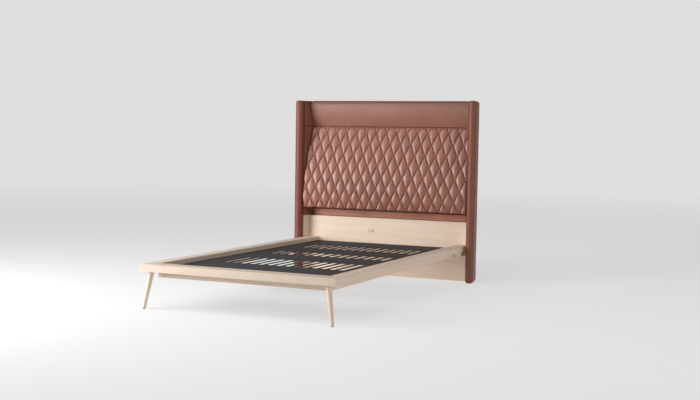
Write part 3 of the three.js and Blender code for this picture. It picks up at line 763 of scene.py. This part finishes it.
def lining_piece(side, node_name, name):
    """One padded length of lining in the place of its solid, with its edges rolled back."""
    low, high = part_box(node_name)
    front = wing_crease + fit_gap
    rear = (back_face - wing_centre_y) / math.cos(wing_flare) - wing_half * math.tan(wing_flare)
    run, rise = rear - front, high.z - low.z
    columns, lines = lining_columns, int(rise / lining_line_step)
    points = []
    seam = []
    for row in range(lines + 1):
        v = crowded(row / lines)
        for column in range(columns + 1):
            u = crowded(column / columns)
            fall_across = rounded_fall(min(u, 1 - u) * run, lining_roll)
            fall_up = rounded_fall(min(v, 1 - v) * rise, lining_roll)
            fall = max(fall_across, fall_up) * lining_roll
            crown = lining_crown * math.sin(math.pi * u) ** 0.5 * math.sin(math.pi * v) ** 0.5
            back = front + run * u
            level = low.z + rise * v
            points.append(wing_place(side, fall - crown - wing_half, back, level))
            seam.append(min(back - front, level - low.z, high.z - level))
    across = columns + 1
    back_start = len(points)
    for corner_back, corner_level in ((front, low.z), (rear, low.z), (rear, high.z), (front, high.z)):
        points.append(wing_place(side, lining_thickness - wing_half, corner_back, corner_level))
        seam.append(0.0)
    faces = []
    for row in range(lines):
        for column in range(columns):
            a = row * across + column
            faces.append((a, a + across, a + across + 1, a + 1))
    bottom_edge = range(across)
    right_edge = [row * across + columns for row in range(lines + 1)]
    top_edge = [lines * across + column for column in range(columns, -1, -1)]
    left_edge = [row * across for row in range(lines, -1, -1)]
    faces += closed_behind((bottom_edge, right_edge, top_edge, left_edge), back_start)
    if side == 1:
        faces = [tuple(reversed(face)) for face in faces]
    piece = mesh_piece(name, points, faces, lining_leather)
    add_layer(piece, "seam_and_shade_distance", seam)
    for polygon in piece.data.polygons:
        polygon.use_smooth = len(polygon.vertices) == 4 and back_start not in polygon.vertices
    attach(piece, "root")
    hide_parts(node_name)


for side, side_name in ((-1, "left"), (1, "right")):
    lining_piece(side, f"wing_lining_{side_name}", f"lining_panel_{side_name}")
    lining_piece(side, f"wing_lining_top_{side_name}", f"lining_panel_top_{side_name}")

# Top band: a padded leather band that leans back towards the seam, with a round upper edge, which is
# coloured a little darker and duller as painted shade, and ends drawn in against the wings.
band_brown = (0.240, 0.088, 0.055)
band_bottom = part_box("quilted_panel")[1].z + fit_gap / 2
band_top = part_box("top_band")[1].z
board_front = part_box("headboard_board")[0].y
board_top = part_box("headboard_board")[1].z
band_round = 0.032
band_rear_round = 0.016
band_lean = 0.052
band_foot = 0.006
band_bulge = 0.005
band_crown = 0.0015
band_foot_round = 0.0055
band_side_gap = 0.002
band_face_steps = 34
band_face_crowding = 1.5
band_shoulder_steps = 16
band_top_steps = 12
band_rear_steps = 6
band_end_steps = 8
band_stations = 60
# Painted shade: the band's shoulder, top and back are pulled part way to the sewn tone.
band_shoulder_painted_shade = 0.0022
band_end_round = 0.016
band_end_draw = 0.6
band_slack = 0.0006
band_slack_from = 0.002
band_waves = (17, 5, 41, 6)
band_leather = leather("band_leather", band_brown, coat=0.22, shine=0.7)


def band_ring(inset):
    """Outline of the band from the seam, over the top and down to the board, as (y, z) points."""
    top = band_top - inset
    foot = board_front - band_foot
    centre = (foot - band_lean + inset + band_round, top - band_round)
    tilt = math.atan((band_lean - math.pi * band_bulge) / (centre[1] - band_bottom))
    shoulder = arc(centre, band_round, math.pi + tilt, math.pi / 2, band_shoulder_steps)
    turn_y, turn_z = shoulder[0]
    ring = []
    for i in range(band_face_steps):
        share = (i / band_face_steps) ** band_face_crowding
        level = band_bottom + (turn_z - band_bottom) * share
        bulge = band_bulge * math.sin(math.pi * share)
        tuck = band_foot_round * rounded_fall(level - band_bottom, band_foot_round)
        ring.append((foot + (turn_y - foot) * share - bulge + tuck, level))
    ring += shoulder
    rear = (back_face - band_rear_round - inset, top - band_rear_round)
    for i in range(1, band_top_steps):
        share = i / band_top_steps
        crown = band_crown * math.sin(math.pi * share)
        ring.append((centre[0] + (rear[0] - centre[0]) * share, top + crown))
    ring += arc(rear, band_rear_round, math.pi / 2, 0, band_rear_steps)
    ring.append((back_face - inset, board_top + fit_gap))
    ring.append((board_front - fit_gap, board_top + fit_gap))
    ring.append((board_front - fit_gap, band_bottom))
    return ring


end_centre = (band_end_round, band_end_round)
band_end = arc(end_centre, band_end_round, math.pi, 1.5 * math.pi, band_end_steps)
stations = [(-1, place, band_end_draw * inset) for place, inset in band_end]
stations += [(0, i / band_stations, 0.0) for i in range(1, band_stations)]
stations += [(1, place, band_end_draw * inset) for place, inset in reversed(band_end)]
band_points = []
band_seam_and_painted_shade = []
for end, place, inset in stations:
    for i, (y, z) in enumerate(band_ring(inset)):
        half = wing_face(y) - band_side_gap
        if end:
            x = end * (half - place)
        else:
            x = (2 * place - 1) * (half - band_end_round)
        slack = band_slack * ripple(x, z, band_waves) if z > band_bottom + band_slack_from else 0
        band_points.append((x, y + slack, z))
        # The face carries its seam; the shoulder, top and back carry painted shade.
        band_seam_and_painted_shade.append(z - band_bottom if i < band_face_steps else band_shoulder_painted_shade)
band_faces = tube_faces(len(stations), len(band_ring(0.0)))
band = mesh_piece("leather_band", band_points, band_faces, band_leather)
add_layer(band, "seam_and_shade_distance", band_seam_and_painted_shade)
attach(band, "root")
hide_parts("top_band")

# Quilted pad: leather sewn through thick foam along crossing lines, so that each diamond stands up
# as a small pillow. The pad swells towards its foot and turns under at the hem.
quilt_low, quilt_high = (corner.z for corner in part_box("quilted_panel"))
quilt_brown = (0.258, 0.087, 0.051)
diamond_width = 0.0787
diamond_height = 0.159
quilt_shift = 0.024
first_crossing = 0.041
quilt_plain_top = 0.016
pillow_power = 0.50
pillow_lean = 0.62
pillow_side_lean = 0.85
quilt_side_gap = 0.003
quilt_crown = 0.0120
quilt_top = 0.0085
quilt_full = 0.126
quilt_foot = 0.119
quilt_swell_share = 0.85
quilt_swell_power = 1.54
quilt_foot_share = 0.86
quilt_end_round = 0.008
quilt_hem_round = 0.008
quilt_top_round = 0.004
quilt_end_room = 0.6
quilt_row_least = 0.001
quilt_worn_from = 0.75
quilt_worn_gain = 1.2
quilt_pressure = 8.0
quilt_push_most = 0.010
quilt_frames = 20
steps_per_diamond = 16
quilt_step = diamond_width / steps_per_diamond
quilt_row_step = diamond_height / (2 * steps_per_diamond)
quilt_leather = leather("quilt_leather", quilt_brown, coat=0.55, shine=0.6, worn=True)


def quilt_base(drop):
    """Depth of the pad in front of its board, at a drop below the seam."""
    share = drop / (quilt_high - quilt_low)
    swell = 1 - (1 - min(share / quilt_swell_share, 1)) ** quilt_swell_power
    fall = max(0.0, (share - quilt_foot_share) / (1 - quilt_foot_share)) ** 2
    return quilt_top + (quilt_full - quilt_top) * swell - (quilt_full - quilt_foot) * fall


def quilt_half(level):
    """Half the width of the pad at a level, where it meets the wings."""
    return wing_face(board_front - quilt_base(quilt_high - level)) - quilt_side_gap


def quilt_spot(x, level):
    """Depth without pillows, pillow share and nearness to a sewn line, at a place on the face."""
    drop = quilt_high - level
    turn = (x - quilt_shift) / diamond_width + 0.5
    climb = (drop - first_crossing) / diamond_height
    one, other = turn + climb, turn - climb
    slope = math.hypot(1 / diamond_width, 1 / diamond_height)
    near = min(abs(one - round(one)), abs(other - round(other))) / slope
    rise = math.sin(math.pi * (one % 1) ** pillow_lean)
    rise *= math.sin(math.pi * (other % 1) ** pillow_side_lean)
    pillow = max(rise, 0.0) ** pillow_power
    pillow *= math.sin(math.pi / 2 * min(drop / quilt_plain_top, 1)) ** 2
    fall = rounded_fall(quilt_half(level) - abs(x), quilt_end_round) * quilt_end_round
    fall += rounded_fall(level - quilt_low, quilt_hem_round) * quilt_hem_round
    fall += rounded_fall(drop, quilt_top_round) * quilt_top_round
    return quilt_base(drop) - fall, pillow, near


first_level = quilt_high - first_crossing
rows_up = int(first_crossing / quilt_row_step)
rows_down = int((first_level - quilt_low) / quilt_row_step)
quilt_rows = [(first_level - row * quilt_row_step, row) for row in range(-rows_up, rows_down + 1)]
if quilt_rows[0][0] < quilt_high - quilt_row_least:
    quilt_rows.insert(0, (quilt_high, -rows_up - 1))
if quilt_rows[-1][0] > quilt_low + quilt_row_least:
    quilt_rows.append((quilt_low, rows_down + 1))
quilt_points = []
quilt_pillow = []
quilt_near = []
quilt_lines = []
for level, row in quilt_rows:
    half = quilt_half(level)
    start = quilt_shift + quilt_step / 2 * (row % 2)
    room = half - quilt_end_room * quilt_step
    first = math.ceil((-room - start) / quilt_step)
    last = math.floor((room - start) / quilt_step)
    line = []
    for x in [-half] + [start + quilt_step * i for i in range(first, last + 1)] + [half]:
        depth, pillow, near = quilt_spot(x, level)
        edge = abs(x) == half or level in (quilt_high, quilt_low)
        line.append(len(quilt_points))
        quilt_points.append([x, board_front - depth, level])
        quilt_pillow.append(0.0 if edge else pillow)
        quilt_near.append(0.0 if edge else near)
    quilt_lines.append(line)
quilt_faces = []
for upper, lower in zip(quilt_lines, quilt_lines[1:]):
    i = j = 0
    while i < len(upper) - 1 or j < len(lower) - 1:
        next_upper = quilt_points[upper[i + 1]][0] if i < len(upper) - 1 else math.inf
        next_lower = quilt_points[lower[j + 1]][0] if j < len(lower) - 1 else math.inf
        if next_upper <= next_lower:
            quilt_faces.append((upper[i], lower[j], upper[i + 1]))
            i += 1
        else:
            quilt_faces.append((upper[i], lower[j], lower[j + 1]))
            j += 1
quilt_pillow = np.array(quilt_pillow)
sewn = np.array(quilt_near) < seam_core
quilt_shape = np.array(quilt_points)
quilt_shape[:, 1] -= quilt_crown * quilt_pillow


def puffed(piece, held):
    """Blows the sheet up between the sewn lines with cloth simulation, and returns its points."""
    pins = piece.vertex_groups.new(name="sewn")
    pins.add([int(i) for i in np.flatnonzero(held)], 1.0, "REPLACE")
    start = np.array([vertex.co for vertex in piece.data.vertices])
    cloth = piece.modifiers.new("cloth", "CLOTH")
    set_up = cloth.settings
    set_up.vertex_group_mass = "sewn"
    set_up.quality = 5
    set_up.mass = 0.4
    set_up.tension_stiffness = 30
    set_up.compression_stiffness = 30
    set_up.shear_stiffness = 15
    set_up.bending_stiffness = 2.0
    set_up.tension_damping = 10
    set_up.compression_damping = 10
    set_up.air_damping = 4
    set_up.use_pressure = True
    set_up.uniform_pressure_force = quilt_pressure
    set_up.effector_weights.gravity = 0
    cloth.collision_settings.use_collision = False
    cloth.point_cache.frame_start = 1
    cloth.point_cache.frame_end = quilt_frames
    scene = bpy.context.scene
    for frame_number in range(1, quilt_frames + 1):
        scene.frame_set(frame_number)
    made = piece.evaluated_get(bpy.context.evaluated_depsgraph_get())
    blown = np.array([vertex.co for vertex in made.data.vertices])
    piece.modifiers.remove(cloth)
    scene.frame_set(1)
    move = blown - start
    length = np.linalg.norm(move, axis=1, keepdims=True)
    move *= np.minimum(1.0, quilt_push_most / np.maximum(length, 1e-9))
    move[held] = 0
    return start + move


loose_quilt = mesh_piece("loose_quilt", quilt_shape, quilt_faces, quilt_leather)
quilt_shape = puffed(loose_quilt, sewn)
loose_mesh = loose_quilt.data
bpy.data.objects.remove(loose_quilt)
bpy.data.meshes.remove(loose_mesh)
quilt_back = board_front - fit_gap
back_half = wing_face(quilt_back) - quilt_side_gap
corners = [(-1, quilt_high), (1, quilt_high), (1, quilt_low), (-1, quilt_low)]
back_points = [(x * back_half, quilt_back, z) for x, z in corners]
back_start = len(quilt_points)
right_edge = [line[-1] for line in quilt_lines]
left_edge = [line[0] for line in reversed(quilt_lines)]
quilt_edges = (quilt_lines[0], right_edge, quilt_lines[-1][::-1], left_edge)
quilt_faces += closed_behind(quilt_edges, back_start)
quilt = mesh_piece("quilted_pad", [*quilt_shape, *back_points], quilt_faces, quilt_leather)
for polygon in quilt.data.polygons:
    polygon.use_smooth = max(polygon.vertices) < back_start
ends = np.zeros(2 * len(quilt.data.edges), int)
quilt.data.edges.foreach_get("vertices", ends)
held = np.append(sewn, [False] * len(back_points))
creased = held[ends].reshape(-1, 2).all(axis=1)
crease = quilt.data.attributes.new("sharp_edge", "BOOLEAN", "EDGE")
crease.data.foreach_set("value", creased)
worn = np.clip(quilt_pillow - quilt_worn_from, 0, 1) * quilt_worn_gain
back_values = [0.0] * len(back_points)
add_layer(quilt, "wear", [*worn, *back_values])
add_layer(quilt, "seam_and_shade_distance", [*quilt_near, *back_values])
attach(quilt, "root")
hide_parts("quilted_panel")

# Leather rail: a flat padded strip wrapped in leather, set back under the pad, with softly rolled
# long edges. Its top is coloured darker as painted shade, under the pad's hem.
# The strip's leather is paler than the rest of the hide, as painted light.
strip_painted_light_brown = (0.480, 0.182, 0.108)
strip_roll = 0.003
strip_painted_shade_depth = 0.013
strip_stations = 40
strip_roll_steps = 4
strip_low, strip_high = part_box("leather_rail")
rail_leather = leather("rail_leather", strip_painted_light_brown, coat=0.0, shine=0.35)
roll_y = strip_low.y + strip_roll
roll_low, roll_high = strip_low.z + strip_roll, strip_high.z - strip_roll
strip_ring = arc((roll_y, roll_low), strip_roll, -math.pi / 2, -math.pi, strip_roll_steps)
for i in range(1, strip_stations):
    strip_ring.append((strip_low.y, roll_low + (roll_high - roll_low) * i / strip_stations))
strip_ring += arc((roll_y, roll_high), strip_roll, math.pi, math.pi / 2, strip_roll_steps)
strip_ring += [(strip_high.y, strip_high.z), (strip_high.y, strip_low.z)]
strip_points = []
for i in range(strip_stations + 1):
    u = 2 * i / strip_stations - 1
    for y, z in strip_ring:
        strip_points.append((u * (wing_face(y) - fit_gap), y, z))
strip_faces = tube_faces(strip_stations + 1, len(strip_ring))
strip = mesh_piece("leather_strip", strip_points, strip_faces, rail_leather)
# Painted shade: the top of the strip, under the hem, takes the sewn tone.
strip_top_painted_shade = [max(0.0, strip_high.z - strip_painted_shade_depth - z) for x, y, z in strip_points]
add_layer(strip, "seam_and_shade_distance", strip_top_painted_shade)
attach(strip, "root")
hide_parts("leather_rail")

# Blank plate: a small domed oval of brushed brass pinned to the wood panel, a little left of its
# middle, with nothing on it.
brass_base = (0.42, 0.34, 0.22)
brass_dark = [0.82 * value for value in brass_base]
plate_arris = 0.0012
brass, brass_tree, brass_shader = plain_material("brushed_brass", roughness=0.48, metallic=1.0)
clouded(brass_tree, brass_shader, brass_base, brass_dark, scale=350.0, detail=2.0)
eased_node("blank_plate", brass, plate_arris)
